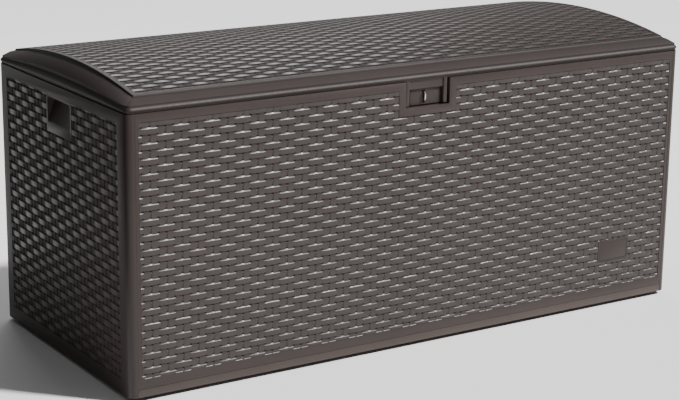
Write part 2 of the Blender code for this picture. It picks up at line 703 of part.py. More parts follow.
def make_leaf(name, parent, x, knuckles, face_z, inward):
    """Hinge leaf: a plate let into the wall or the lid, with knuckles round the pin."""
    half = LEAF_LENGTH / 2.0
    low_z, high_z = sorted((face_z, face_z + inward * LEAF_THICK))
    mesh = bmesh.new()
    verts = add_box(mesh, (x - half, FACE_Y - LEAF_REACH, low_z), (x + half, FACE_Y, high_z))
    round_edges(mesh, verts, 2, LEAF_CORNER, 2, lambda middle: middle.y < FACE_Y - LEAF_REACH / 2.0)
    leaf = finish(name, mesh, steel(name), parent, (x, AXIS_Y, AXIS_Z))
    bore = PIN_RADIUS + PIN_CLEAR
    strap_end = AXIS_Y - (BARREL_RADIUS + bore) / 2.0
    mesh = bmesh.new()
    for low_x, high_x in knuckles:
        low = (low_x + GAP, FACE_Y - LEAF_THICK, low_z + GAP / 2.0)
        add_box(mesh, low, (high_x - GAP, strap_end, high_z - GAP / 2.0))
    combine(leaf, finish_cutter(name + "_straps", mesh, parent), "UNION")
    mesh = bmesh.new()
    for low_x, high_x in knuckles:
        add_cylinder(mesh, (low_x, AXIS_Y, AXIS_Z), (high_x, AXIS_Y, AXIS_Z), BARREL_RADIUS, segments=20)
    combine(leaf, finish_cutter(name + "_knuckles", mesh, parent), "UNION")

    screw_x = (x - LEAF_SCREW_SPACING / 2.0, x + LEAF_SCREW_SPACING / 2.0)
    mesh = bmesh.new()
    start = (x - LEAF_LENGTH, AXIS_Y, AXIS_Z)
    add_cylinder(mesh, start, (x + LEAF_LENGTH, AXIS_Y, AXIS_Z), bore, segments=14)
    for place in screw_x:
        add_countersink(mesh, place, FACE_Y - LEAF_SCREW_INSET, face_z, inward)
    combine(leaf, finish_cutter(name + "_bore_and_countersinks", mesh, parent))
    mesh = bmesh.new()
    for place in screw_x:
        add_screw_hole(mesh, place, FACE_Y - LEAF_SCREW_INSET, face_z, inward)
    combine(leaf, finish_cutter(name + "_screw_holes", mesh, parent))
    return leaf


def screw_profile():
    """Countersunk screw hanging down from z = 0."""
    return ((0.0, 0.0), (SCREW_HEAD_RADIUS, 0.0), (SCREW_RADIUS, -SCREW_HEAD_DEPTH),
            (SCREW_RADIUS, -SCREW_LENGTH + SCREW_RADIUS), (0.0, -SCREW_LENGTH))


def make_hinges():
    names = ("left", "middle", "right") if HINGE_COUNT == 3 else [str(n + 1) for n in range(HINGE_COUNT)]
    third = LEAF_LENGTH / 3.0
    for name, x in zip(names, hinge_positions()):
        outer = [(x - LEAF_LENGTH / 2.0, x - third / 2.0 - KNUCKLE_GAP / 2.0),
                 (x + third / 2.0 + KNUCKLE_GAP / 2.0, x + LEAF_LENGTH / 2.0)]
        inner = [(x - third / 2.0 + KNUCKLE_GAP / 2.0, x + third / 2.0 - KNUCKLE_GAP / 2.0)]
        make_leaf("hinge_%s_body_leaf" % name, BODY, x, outer, SEAM_Z, -1.0)
        make_leaf("hinge_%s_lid_leaf" % name, LID, x, inner, LID_Z, 1.0)
        half = LEAF_LENGTH / 2.0
        profile = ((0.0, half), (PIN_RADIUS, half), (PIN_RADIUS, -half - GAP), (PIN_HEAD_RADIUS, -half - GAP),
                   (PIN_HEAD_RADIUS, -half - PIN_HEAD), (0.0, -half - PIN_HEAD))
        pin_name = "hinge_%s_pin" % name
        turned(pin_name, profile, steel(pin_name), BODY, (x, AXIS_Y, AXIS_Z), (0.0, math.pi / 2.0, 0.0))
    for number, side, x, y in leaf_screw_places():
        body_name = "hinge_%s_body_screw_%s" % (names[number], side)
        lid_name = "hinge_%s_lid_screw_%s" % (names[number], side)
        turned(body_name, screw_profile(), steel(body_name), BODY, (x, y, SEAM_Z), segments=12)
        turned(lid_name, screw_profile(), steel(lid_name), LID, (x, y, LID_Z), UPSIDE_DOWN, segments=12)


def hasp_flange_end():
    """Distance from the centre line to the inner end of the hasp's flange."""
    return INNER_Y + PLAY


def hasp_screw_x():
    return [HASP_SHIFT - HASP_WIDTH / 4.0, HASP_SHIFT + HASP_WIDTH / 4.0]


def hasp_screw_y():
    return -hasp_flange_end() - HASP_SCREW_INSET


def make_lid_hasp():
    """An upside-down U that drops over the padlock staple when the lid comes down."""
    half = HASP_WIDTH / 2.0
    front = -FACE_Y + HASP_INSET
    mesh = bmesh.new()
    low = (HASP_SHIFT - half, -FACE_Y + LID_PROFILE[0][1] + LID_SKIN + GAP, LID_Z)
    add_box(mesh, low, (HASP_SHIFT + half, -hasp_flange_end(), LID_Z + HASP_FLANGE_THICK))
    hasp = finish("lid_hasp", mesh, resin("lid_hasp"), LID, (HASP_SHIFT, front, LID_Z))
    mesh = bmesh.new()
    flange_front = -FACE_Y + LID_PROFILE[0][1] + LID_SKIN + GAP
    for sign in (-1.0, 1.0):
        outer, inner = HASP_SHIFT + sign * half, HASP_SHIFT + sign * (half - HASP_LEG)
        low = (min(outer, inner), front, SEAM_Z - HASP_LEG_LENGTH)
        verts = add_box(mesh, low, (max(outer, inner), front + HASP_THICK, LID_Z - GAP))
        round_edges(mesh, verts, 2, HASP_CORNER, 2, lambda middle: middle.y < front + HASP_THICK / 2.0)
    combine(hasp, finish_cutter("hasp_legs", mesh, LID), "UNION")
    mesh = bmesh.new()
    low = (HASP_SHIFT - half + HASP_LEG / 2.0, -FACE_Y + HASP_BRIDGE_INSET, SEAM_Z - HASP_BRIDGE)
    high = (HASP_SHIFT + half - HASP_LEG / 2.0, front + HASP_THICK - GAP, SEAM_Z)
    add_box(mesh, low, high)
    combine(hasp, finish_cutter("hasp_bridge", mesh, LID), "UNION")
    mesh = bmesh.new()
    low = (HASP_SHIFT - half + GAP, flange_front + PLAY, SEAM_Z - PLAY)
    high = (HASP_SHIFT + half - GAP, front + HASP_THICK - 2.0 * GAP, LID_Z + HASP_FLANGE_THICK / 2.0)
    add_box(mesh, low, high)
    combine(hasp, finish_cutter("hasp_neck", mesh, LID), "UNION")
    mesh = bmesh.new()
    for x in hasp_screw_x():
        add_countersink(mesh, x, hasp_screw_y(), LID_Z, 1.0)
    combine(hasp, finish_cutter("hasp_countersinks", mesh, LID))
    mesh = bmesh.new()
    for x in hasp_screw_x():
        add_screw_hole(mesh, x, hasp_screw_y(), LID_Z, 1.0)
    combine(hasp, finish_cutter("hasp_screw_holes", mesh, LID))
    for name, x in zip(("hasp_screw_left", "hasp_screw_right"), hasp_screw_x()):
        place = (x, hasp_screw_y(), LID_Z)
        turned(name, screw_profile(), steel(name), LID, place, UPSIDE_DOWN, segments=12)
    return hasp


def boss_back():
    return -FACE_Y + POCKET_DEPTH - GAP


def boss_screw_x():
    return [-BOSS_SCREW_SPACING / 2.0, BOSS_SCREW_SPACING / 2.0]


def boss_screw_z():
    return SEAM_Z - BOSS_DROP - BOSS_HEIGHT / 2.0


def make_lock_boss():
    """Raised pad in the pocket with an upright slot round the padlock staple."""
    back = boss_back()
    bottom = SEAM_Z - BOSS_DROP - BOSS_HEIGHT
    mesh = bmesh.new()
    half = BOSS_WIDTH / 2.0
    verts = add_box(mesh, (-half, back - BOSS_THICK, bottom), (half, back, SEAM_Z - BOSS_DROP))
    round_edges(mesh, verts, 1, BOSS_CORNER, 2)
    boss = finish("lock_boss", mesh, resin("lock_boss"), BODY, (0.0, back, boss_screw_z()))
    mesh = bmesh.new()
    low = (SLOT_SHIFT - SLOT_WIDTH / 2.0, back - BOSS_THICK - PLAY, boss_screw_z() - SLOT_HEIGHT / 2.0)
    high = (SLOT_SHIFT + SLOT_WIDTH / 2.0, back - BOSS_THICK + SLOT_DEPTH, boss_screw_z() + SLOT_HEIGHT / 2.0)
    add_box(mesh, low, high)
    combine(boss, finish_cutter("lock_boss_slot", mesh))
    mesh = bmesh.new()
    for x in boss_screw_x():
        start = (x, back - BOSS_SCREW_BITE - PLAY, boss_screw_z())
        add_cylinder(mesh, start, (x, back + PLAY, boss_screw_z()), SCREW_RADIUS + GAP)
    for z in staple_leg_z():
        start = (SLOT_SHIFT, back - BOSS_THICK + SLOT_DEPTH - PLAY, z)
        add_cylinder(mesh, start, (SLOT_SHIFT, back + PLAY, z), STAPLE_WIRE + GAP)
    combine(boss, finish_cutter("lock_boss_holes", mesh))

    head = BOSS_SCREW_HEAD
    length = WALL - POCKET_DEPTH + GAP + BOSS_SCREW_BITE
    rise = BOSS_SCREW_HEAD_DEPTH
    profile = ((0.0, rise), (0.6 * head, rise), (head, rise / 2.0), (head, GAP), (SCREW_RADIUS, GAP),
               (SCREW_RADIUS, -length), (0.0, -length))
    for name, x in zip(("boss_screw_left", "boss_screw_right"), boss_screw_x()):
        place = (x, -INNER_Y, boss_screw_z())
        turned(name, profile, steel(name), BODY, place, (-math.pi / 2.0, 0.0, 0.0), segments=12)
    return boss


def staple_leg_z():
    top = SEAM_Z - STAPLE_TOP_DROP
    return [top - STAPLE_HEIGHT, top]


def make_padlock_staple():
    """Bent steel wire: two legs in the lock boss and a loop that a padlock hooks through."""
    low_z, high_z = staple_leg_z()
    root = boss_back() - PLAY
    front = -FACE_Y + STAPLE_INSET
    bend = STAPLE_BEND
    points = [(0.0, root, low_z)]
    for centre_z, first in ((low_z + bend, -90.0), (high_z - bend, 0.0)):
        for index in range(5):
            angle = math.radians(first + index * 22.5)
            points.append((0.0, front + bend - bend * math.cos(angle), centre_z + bend * math.sin(angle)))
    points.append((0.0, root, high_z))
    data = bpy.data.curves.new("padlock_staple", "CURVE")
    data.dimensions = "3D"
    data.bevel_depth = STAPLE_WIRE
    data.bevel_resolution = 2
    data.use_fill_caps = True
    spline = data.splines.new("POLY")
    spline.points.add(len(points) - 1)
    for point, (x, y, z) in zip(spline.points, points):
        point.co = (x, y, z - boss_screw_z(), 1.0)
    staple = bpy.data.objects.new("padlock_staple", data)
    data.materials.append(steel("padlock_staple"))
    PARTS.objects.link(staple)
    staple.parent = BODY
    staple.location = (SLOT_SHIFT, 0.0, boss_screw_z())
    return staple


def make_badge():
    mesh = bmesh.new()
    z = BOTTOM_Z + BADGE_Z
    low = (BADGE_X - BADGE_WIDTH / 2.0, -FACE_Y + GAP, z - BADGE_HEIGHT / 2.0)
    high = (BADGE_X + BADGE_WIDTH / 2.0, -FACE_Y + BADGE_THICK - GAP, z + BADGE_HEIGHT / 2.0)
    verts = add_box(mesh, low, high)
    round_edges(mesh, verts, 1, BADGE_CORNER - GAP, 3)
    return finish("badge_plate", mesh, resin("badge_plate"), BODY, (BADGE_X, -FACE_Y, z))


clear_scene()
PARTS = make_collection("deck_storage_box")
CUTTERS = make_collection("cutters")
BODY = make_empty("box_body", (0.0, -HINGE_PROUD / 2.0, 0.0))
AXIS = (0.0, AXIS_Y, AXIS_Z)
LID = make_empty("lid_on_hinge_axis", BODY.location + Vector(AXIS))

make_floor_panel()
make_front_panel()
make_back_panel()
make_end_panel("left_end_panel", -1.0)
make_end_panel("right_end_panel", 1.0)
make_feet()
make_lid_shell()
make_lid_liner()
make_hinges()
make_lid_hasp()
make_lock_boss()
make_padlock_staple()
make_badge()
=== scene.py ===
"""Looks of the deck storage box: wicker relief, lid rim, materials, light and camera round the CAD frame."""
import math

import bmesh
import bpy
import numpy as np
from mathutils import Matrix, Vector


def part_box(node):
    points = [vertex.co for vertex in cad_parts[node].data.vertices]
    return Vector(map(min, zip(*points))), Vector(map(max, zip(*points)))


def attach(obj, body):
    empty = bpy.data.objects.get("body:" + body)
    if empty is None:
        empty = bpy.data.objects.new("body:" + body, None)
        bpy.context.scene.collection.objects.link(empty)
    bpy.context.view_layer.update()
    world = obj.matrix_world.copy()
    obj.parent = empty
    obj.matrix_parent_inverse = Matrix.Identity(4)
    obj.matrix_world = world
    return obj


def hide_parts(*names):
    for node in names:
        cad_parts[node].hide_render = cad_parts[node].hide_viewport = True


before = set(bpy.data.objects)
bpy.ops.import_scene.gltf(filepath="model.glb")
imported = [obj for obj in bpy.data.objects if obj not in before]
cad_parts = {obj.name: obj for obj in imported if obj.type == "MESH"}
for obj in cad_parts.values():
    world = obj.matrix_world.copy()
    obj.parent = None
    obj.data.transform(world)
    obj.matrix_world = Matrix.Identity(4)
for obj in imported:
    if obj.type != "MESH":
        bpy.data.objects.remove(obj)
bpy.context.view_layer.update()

# ---------------------------------------------------------------- sizes, in metres
MM = 0.001


def in_mm(*values):
    return [value * MM for value in values]


# Weave: upright strands in pairs, and level strands that pass over and under them
COLUMN = 36.7 * MM             # pitch of the pairs of upright strands
ROW = 16.2 * MM                # pitch of the level strands
WARP_OFFSET = 9.05 * MM        # upright strand, from the middle of its pair
WARP_HALF = 7.75 * MM          # half its width
WARP_TOP = -0.70 * MM          # highest level of the upright strands
WARP_WAVE = 1.60 * MM          # rise and fall of an upright strand along its run
WARP_FLATNESS = 0.7            # below 1, the wave dwells at its top and bottom
WEFT_HALF = 7.15 * MM
WEFT_SWELL = 0.60 * MM         # half a level strand is this much wider where it passes over
WEFT_WAVE = 1.50 * MM
WEFT_FLATNESS = 0.62
HEAD_EDGE, HEAD_DROP = 3.2 * MM, 2.6 * MM      # sloping upper edge of a level strand: width and drop
FOOT_EDGE, FOOT_DROP = 0.7 * MM, 2.3 * MM      # steeper lower edge
SIDE_EDGE, SIDE_DROP = 1.5 * MM, 1.8 * MM      # both edges of an upright strand
EDGE_ROUNDNESS = 1.08          # 1 is a straight slope
STRAND_CROWN = 0.12 * MM       # a strand's flat top is this much higher in the middle
RELIEF = 3.0 * MM              # depth of the sunk fields
FLOOR_CLEAR = 0.15 * MM        # relief's lowest points above the floor of its field
TOP_CLEAR = 0.05 * MM          # relief's highest points below the face round it
EDGE = 0.05 * MM               # sheet's edge to the side of its field
BORDER_SLOPE = 2.7             # relief climbs to the face at the borders
BORDER_LINE = 1.1 * MM         # width of that climb along the sheet's edges
BORDER_FREE = 1.6 * MM         # no line of the pattern lies nearer to an edge
SHORE = 0.8 * MM               # width of the climb round the plain islands
SHORE_SLOPE = 3.78
SKIN = 0.02 * MM               # a depth smaller than this counts as none
SMOOTH_ANGLE = math.radians(24.0)

# Grid lines, from the middle of a pair of uprights and from the middle of a level strand
COLUMN_LINES = in_mm(-18.35, -16.8, -15.4, -9.05, -2.7, -1.3, 1.3, 2.7, 9.05, 15.4, 16.8)
ROW_LINES = in_mm(-8.1, -7.15, -6.5, 4.0, 5.5, 7.15)
LID_COLUMNS = in_mm(-18.35, -16.8, -15.4, -2.7, -1.3, 1.3, 2.7, 15.4, 16.8)
LID_LINES = in_mm(-8.1, -7.15, -6.5, -5.4, 4.0, 5.6, 7.15)
LID_PAINTED_SHADE = -6.2 * MM          # the lid's level strands get painted shade in front of this line

front_low, front_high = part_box("front_panel")
back_low, back_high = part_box("back_panel")
left_low, left_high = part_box("left_end_panel")
right_low, right_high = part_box("right_end_panel")
lid_low, lid_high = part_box("lid_shell")
badge_low, badge_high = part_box("badge_plate")
MIDDLE_Y = (front_low.y + back_high.y) / 2.0
HALF_LENGTH = (right_high.x - left_low.x) / 2.0
HALF_DEPTH = (back_high.y - front_low.y) / 2.0
WALL_FOOT = left_low.z
SEAM_Z = left_high.z

# Fields as they are sunk in the panels, from the faces' edges
LONG_SIDE, LONG_FOOT, LONG_HEAD = in_mm(27.0, 40.0, 19.0)
END_SIDE, END_FOOT, END_HEAD = in_mm(45.0, 33.0, 24.0)
ROW_PHASE = WALL_FOOT + 551.9 * MM      # a gap between two rows

# Islands left plain in the fields, round the latch pocket, the badge and the hand scoops
POCKET_HALF, POCKET_HEIGHT, POCKET_PLAIN = in_mm(60.0, 60.0, 18.0)
BADGE_PLAIN = 4.0 * MM
SCOOP_HALF, SCOOP_SIDE = in_mm(58.0, 6.0)
SCOOP_DROP, SCOOP_HEIGHT, SCOOP_FOOT = in_mm(30.0, 58.0, 21.0)

# Lid: heights are above its bottom edge
LID_FOOT = lid_low.z
LID_CROWN_RISE = lid_high.z - lid_low.z
LID_EDGE_RISE = 32.7 * MM      # dome's front and back edges
DOME_INSET = 30.0 * MM
DOME_RADIUS = 1.67             # only tilts the relief to the dome
STRIP = 11.0 * MM              # plain strip round the lid's field
LID_CORNER = 15.0 * MM
LID_LEAST_CORNER = 4.0 * MM
RIM_SMOOTH_ANGLE = math.radians(38.0)

# Section of the lid's rim, from the bottom edge to the field's floor:
# share of the rise to the dome, distance in and lift, both in mm
RIM_PROFILE = (
    (0.00, 4.2, 0.6), (0.00, 3.6, 0.15), (0.00, 2.6, 0.0),                          # rounded bottom edge
    (0.03, 2.1, 0.0), (0.09, 2.1, 0.0), (0.11, 1.6, 0.0),                           # groove over the seam
    (0.13, 0.5, 0.0), (0.155, 0.1, 0.0), (0.19, 0.0, 0.0), (0.225, 0.25, 0.0),      # bead
    (0.265, 0.9, 0.0), (0.305, 1.9, 0.0), (0.345, 3.1, 0.0), (0.38, 4.6, 0.0),
    (0.41, 6.8, 0.0), (0.432, 9.8, 0.0), (0.455, 13.4, 0.0), (0.487, 17.0, 0.0),    # cove
    (0.535, 20.4, 0.0), (0.60, 23.3, 0.0), (0.675, 25.5, 0.0), (0.76, 27.1, 0.0),
    (0.85, 28.3, 0.0), (0.94, 29.2, 0.0), (0.99, 29.7, 0.0), (1.0, 30.1, 0.0),
    (1.0, 32.0, 0.0), (1.0, 36.0, 0.0), (1.0, 40.3, 0.0),                           # plain strip
    (1.0, 40.8, -0.25), (1.0, 41.1, -1.2), (1.0, 41.3, -2.9))                       # side of the field
INNER_PROFILE = ((0.0, 4.2, 0.6), (0.0, 4.6, 2.0), (0.5, 4.8, 0.0), (0.8, 20.0, 0.0), (0.92, 33.0, 0.0))

# ---------------------------------------------------------------- node helpers


def node(tree, kind, **inputs):
    """Adds a node; inputs are sockets to link or values to set, with _ for a space in an input's name."""
    made = tree.nodes.new(kind)
    for name, value in inputs.items():
        key = name.replace("_", " ")
        if hasattr(value, "is_output"):
            tree.links.new(value, made.inputs[key])
        else:
            made.inputs[key].default_value = value
    return made


def object_noise(tree, scale, detail, roughness=0.5):
    """Noise in the piece's own coordinates, so that it moves with the piece."""
    place = node(tree, "ShaderNodeTexCoord").outputs["Object"]
    made = node(tree, "ShaderNodeTexNoise", Vector=place, Scale=scale, Detail=detail, Roughness=roughness)
    return made.outputs["Fac"]


def ramp(tree, factor, stops):
    made = tree.nodes.new("ShaderNodeValToRGB")
    tree.links.new(factor, made.inputs["Fac"])
    elements = made.color_ramp.elements
    for index, (place, color) in enumerate(stops):
        element = elements[index] if index < len(elements) else elements.new(place)
        element.position = place
        element.color = (*color, 1.0)
    return made.outputs["Color"]


def value_ramp(tree, factor, low, high, start=0.0, end=1.0):
    made = node(tree, "ShaderNodeMapRange", From_Min=start, From_Max=end, To_Min=low, To_Max=high)
    tree.links.new(factor, made.inputs["Value"])
    return made.outputs["Result"]


def add_values(tree, first, second):
    made = tree.nodes.new("ShaderNodeMath")
    made.operation = "ADD"
    tree.links.new(first, made.inputs[0])
    tree.links.new(second, made.inputs[1])
    return made.outputs[0]


def multiply_colors(tree, first, second):
    made = tree.nodes.new("ShaderNodeMix")
    made.data_type = "RGBA"
    made.blend_type = "MULTIPLY"
    sockets = {socket.identifier: socket for socket in made.inputs}
    sockets["Factor_Float"].default_value = 1.0
    tree.links.new(first, sockets["A_Color"])
    tree.links.new(second, sockets["B_Color"])
    return next(socket for socket in made.outputs if socket.identifier == "Result_Color")


def add_bump(tree, shader, height, strength, distance):
    bump = node(tree, "ShaderNodeBump", Height=height, Strength=strength, Distance=distance)
    tree.links.new(bump.outputs["Normal"], shader.inputs["Normal"])


def start_material(name):
    material = bpy.data.materials.new(name)
    material.use_nodes = True
    tree = material.node_tree
    return material, tree, tree.nodes["Principled BSDF"]


def shaded(color, factor):
    return tuple(factor * channel for channel in color)


def grey(value):
    return (value, value, value)


# ---------------------------------------------------------------- materials


def resin_material(name, color, roughness=0.46, grain=0.35, relief=None, dull=(0.0, 1.0), shine=0.5):
    """Moulded resin: mottled colour and fine grain.

    On a woven sheet, relief gives the painted shade at each depth of the weave, darker in the hollows,
    and dull the depths between which the surface turns from dusty to clean.
    """
    material, tree, shader = start_material(name)
    cloud = object_noise(tree, 3.5, 4.0, 0.55)
    speck = object_noise(tree, 420.0, 3.0, 0.6)
    tint = ramp(tree, cloud, ((0.30, shaded(color, 0.86)), (0.70, shaded(color, 1.12))))
    fleck = ramp(tree, speck, ((0.35, grey(0.90)), (0.65, grey(1.07))))
    tint = multiply_colors(tree, tint, fleck)
    gloss = value_ramp(tree, speck, roughness - 0.06, roughness + 0.08, 0.3, 0.7)
    if relief:
        attribute = node(tree, "ShaderNodeAttribute")
        attribute.attribute_name = "relief"
        depth = attribute.outputs["Fac"]
        # painted shade: the hollows of the weave and the strands' lower edges are darkened in the colour,
        # and the tops are a little lightened as painted light
        painted_hollow_shade = ramp(tree, depth, tuple((place, grey(shade)) for place, shade in relief))
        tint = multiply_colors(tree, tint, painted_hollow_shade)
        gloss = add_values(tree, gloss, value_ramp(tree, depth, 0.55, 0.0, *dull))
    tree.links.new(tint, shader.inputs["Base Color"])
    tree.links.new(gloss, shader.inputs["Roughness"])
    shader.inputs["Specular IOR Level"].default_value = shine
    add_bump(tree, shader, speck, grain, 0.4 * MM)
    return material


def steel_material(name, color, roughness=0.24):
    """Bright zinc-plated steel with fine drawing lines and a faint blotchy haze."""
    material, tree, shader = start_material(name)
    haze = object_noise(tree, 160.0, 3.0)
    tree.links.new(ramp(tree, haze, ((0.3, shaded(color, 0.82)), (0.7, color))), shader.inputs["Base Color"])
    shader.inputs["Metallic"].default_value = 1.0
    gloss = value_ramp(tree, haze, roughness - 0.06, roughness + 0.14, 0.3, 0.7)
    tree.links.new(gloss, shader.inputs["Roughness"])
    add_bump(tree, shader, object_noise(tree, 900.0, 2.0), 0.15, 0.2 * MM)
    return material


def rubber_material(name):
    """Black rubber with pale dust on it."""
    material, tree, shader = start_material(name)
    dust = object_noise(tree, 90.0, 5.0)
    tint = ramp(tree, dust, ((0.35, (0.016, 0.015, 0.015)), (0.75, (0.045, 0.042, 0.040))))
    tree.links.new(tint, shader.inputs["Base Color"])
    tree.links.new(value_ramp(tree, dust, 0.62, 0.85), shader.inputs["Roughness"])
    add_bump(tree, shader, dust, 0.3, 0.5 * MM)
    return material


def matte_material(name, scale, dark, light, roughness):
    """Faintly clouded matt surface of the studio's own things."""
    material, tree, shader = start_material(name)
    cloud = object_noise(tree, scale, 2.0)
    tree.links.new(ramp(tree, cloud, ((0.0, grey(dark)), (1.0, grey(light)))), shader.inputs["Base Color"])
    shader.inputs["Roughness"].default_value = roughness
    return material


BROWN = (0.0315, 0.0205, 0.0175)
INSIDE_BROWN = (0.042, 0.028, 0.023)
ZINC = (0.78, 0.79, 0.80)
# Wicker: each relief ramp paints shade into the hollows of the weave and lightens the tops a little as
# painted light
weave_resin = resin_material(
    "resin_wicker", shaded(BROWN, 0.82), roughness=0.38, dull=(0.10, 0.38),
    relief=((0.04, 0.05), (0.28, 0.32), (0.50, 0.90), (1.0, 1.06)))
end_resin = resin_material(
    "resin_end_wicker", BROWN, roughness=0.36, dull=(0.45, 0.93),
    relief=((0.04, 0.05), (0.28, 0.36), (0.50, 0.90), (1.0, 1.06)))
# The lid's wicker is the brown made 1.75 times as light, painted light for its top lit from above, with deep
# painted shade in its hollows and a painted highlight on its tops
lit_lid_resin = resin_material(
    "resin_lid_wicker_painted_light", shaded(BROWN, 1.75), roughness=0.32, dull=(0.55, 0.95),
    relief=((0.05, 0.03), (0.50, 0.08), (0.78, 0.45), (1.0, 1.25)))
# The lid's rim is the brown made darker, painted shade for its shaded cove
shaded_rim_resin = resin_material("resin_lid_rim_painted_shade", shaded(BROWN, 0.62), roughness=0.56, shine=0.30)
plain_resin = resin_material("resin_plain", shaded(BROWN, 0.85), roughness=0.48, shine=0.38)
inside_resin = resin_material("resin_inside_faces", INSIDE_BROWN, roughness=0.52, grain=0.5)
bright_steel = steel_material("zinc_steel", ZINC)
foot_rubber = rubber_material("foot_rubber")

# ---------------------------------------------------------------- wicker relief


def strand(across, half, head, foot):
    """Cross-section of a strand: nearly flat on top, falling at both edges, far below beyond them."""
    side = np.abs(across)
    edge = np.where(across > 0.0, head[0], foot[0])
    drop = np.where(across > 0.0, head[1], foot[1])
    share = np.clip((side - half + edge) / edge, 0.0, 1.0)
    crown = STRAND_CROWN * (across / half) ** 2
    return np.where(side < half + 1e-7, -drop * share ** EDGE_ROUNDNESS - crown, -1.0)


def flat_wave(wave, flatness):
    return np.sign(wave) * np.abs(wave) ** flatness


def in_row(v):
    """Number of the level strand at a place, and how far above that strand's middle the place is."""
    row = np.floor(v / ROW + 1e-6)
    return row, v - (row + 0.5) * ROW


def weft_over(u, row):
    """1 where a level strand passes over, -1 where it passes under."""
    return flat_wave(np.cos(math.pi * u / COLUMN + math.pi * row), WEFT_FLATNESS)


def follow_strands(u, v):
    """Moves the grid lines next to a level strand's edges onto them, as the strand swells and narrows."""
    row, across = in_row(v)
    half = WEFT_HALF + WEFT_SWELL * weft_over(u, row)
    side = np.abs(across)
    inner = side * half / WEFT_HALF
    outer = half + (side - WEFT_HALF) * (ROW / 2.0 - half) / (ROW / 2.0 - WEFT_HALF)
    return (row + 0.5) * ROW + np.sign(across) * np.where(side <= WEFT_HALF, inner, outer)


def wicker(u, v):
    """Height of the relief, 0 at its highest; u runs along the level strands and v across them."""
    row, across_row = in_row(v)
    over = weft_over(u, row)
    head, foot, side = (HEAD_EDGE, HEAD_DROP), (FOOT_EDGE, FOOT_DROP), (SIDE_EDGE, SIDE_DROP)
    weft = WEFT_WAVE * (over - 1.0) / 2.0
    weft = weft + strand(across_row, WEFT_HALF + WEFT_SWELL * over, head, foot)
    column = np.floor(u / COLUMN + 0.5)
    beside = np.abs(u - column * COLUMN) - WARP_OFFSET
    rise = flat_wave(-np.cos(math.pi * (v / ROW - 0.5) + math.pi * column), WARP_FLATNESS)
    warp = WARP_TOP + WARP_WAVE * (rise - 1.0) / 2.0 + strand(beside, WARP_HALF, side, side)
    return np.clip(np.maximum(weft, warp), -RELIEF + FLOOR_CLEAR + TOP_CLEAR, 0.0)


def lines_between(low, high, pitch, offset, lines):
    """Grid lines of a repeating pattern between two limits, with the limits and a line beside each."""
    first = math.floor((low - offset) / pitch) - 1
    last = math.ceil((high - offset) / pitch) + 1
    found = [offset + index * pitch + line for index in range(first, last + 1) for line in lines]
    found = [value for value in found if low + BORDER_FREE < value < high - BORDER_FREE]
    return np.array([low, low + BORDER_LINE] + sorted(found) + [high - BORDER_LINE, high])


def sheet_lines(u_span, v_span, v_offset, holes, on_lid):
    """Grid lines of a sheet: the pattern's, and those along the islands; also the islands' level lines."""
    u_lines = lines_between(*u_span, COLUMN, 0.0, LID_COLUMNS if on_lid else COLUMN_LINES)
    v_lines = lines_between(*v_span, ROW, v_offset + ROW / 2.0, LID_LINES if on_lid else ROW_LINES)
    cuts = [[], []]
    for low, high in holes:
        for axis, span in ((0, u_span), (1, v_span)):
            for line in (low[axis] - SHORE, low[axis], high[axis], high[axis] + SHORE):
                if span[0] < line < span[1]:
                    cuts[axis].append(line)
    u_lines = np.unique(np.concatenate([u_lines, np.array(cuts[0], float)]))
    v_lines = np.unique(np.concatenate([v_lines, np.array(cuts[1], float)]))
    return u_lines, v_lines, cuts[1]


def climb(u, v, u_span, v_span, holes):
    """How far the relief may lie below the face: nothing at the borders, and more away from them."""
    border = np.minimum(np.minimum(u - u_span[0], u_span[1] - u), np.minimum(v - v_span[0], v_span[1] - v))
    depth = BORDER_SLOPE * np.maximum(border, 0.0)
    for (low_u, low_v), (high_u, high_v) in holes:
        away = np.maximum(np.maximum(low_u - u, u - high_u), np.maximum(low_v - v, v - high_v))
        depth = np.minimum(depth, SHORE_SLOPE * np.maximum(away, 0.0))
    return depth


def sheet_quads(u_lines, v_lines, holes):
    """Quads of the grid, as numbers of its points, without those inside the islands."""
    index = np.arange(len(v_lines) * len(u_lines)).reshape(len(v_lines), len(u_lines))
    quads = np.stack([index[:-1, :-1], index[:-1, 1:], index[1:, 1:], index[1:, :-1]], axis=-1)
    middle_u = (u_lines[:-1] + u_lines[1:]) / 2.0
    middle_v = (v_lines[:-1] + v_lines[1:]) / 2.0
    keep = np.ones((len(middle_v), len(middle_u)), bool)
    for (low_u, low_v), (high_u, high_v) in holes:
        inside_u = (middle_u > low_u) & (middle_u < high_u)
        inside_v = (middle_v > low_v) & (middle_v < high_v)
        keep &= ~(inside_v[:, None] & inside_u[None, :])
    return quads[keep]


def painted_relief_shade(v, height, depth_limit, on_lid):
    """Painted shade of the relief: 1 at its highest level, 0 at its lowest, along the borders of the field
    and its islands, and on the lid's strand fronts.
    """
    shade = 1.0 + height / (RELIEF - FLOOR_CLEAR)
    if on_lid:
        # painted shade on the front-facing lower edges of the lid's level strands
        painted_dark_foot = (in_row(v)[1] < LID_PAINTED_SHADE) & (height < -SKIN)
        shade = np.where(painted_dark_foot, 0.0, shade)
    # painted shade: a dark line along the borders of the field and round its islands
    return np.where(depth_limit < SKIN, 0.0, shade)


def add_resin_piece(name, mesh, material, body, smooth_angle):
    mesh.shade_smooth()
    mesh.set_sharp_from_angle(angle=smooth_angle)
    mesh.materials.append(material)
    piece = bpy.data.objects.new(name, mesh)
    bpy.context.scene.collection.objects.link(piece)
    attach(piece, body)
    return piece


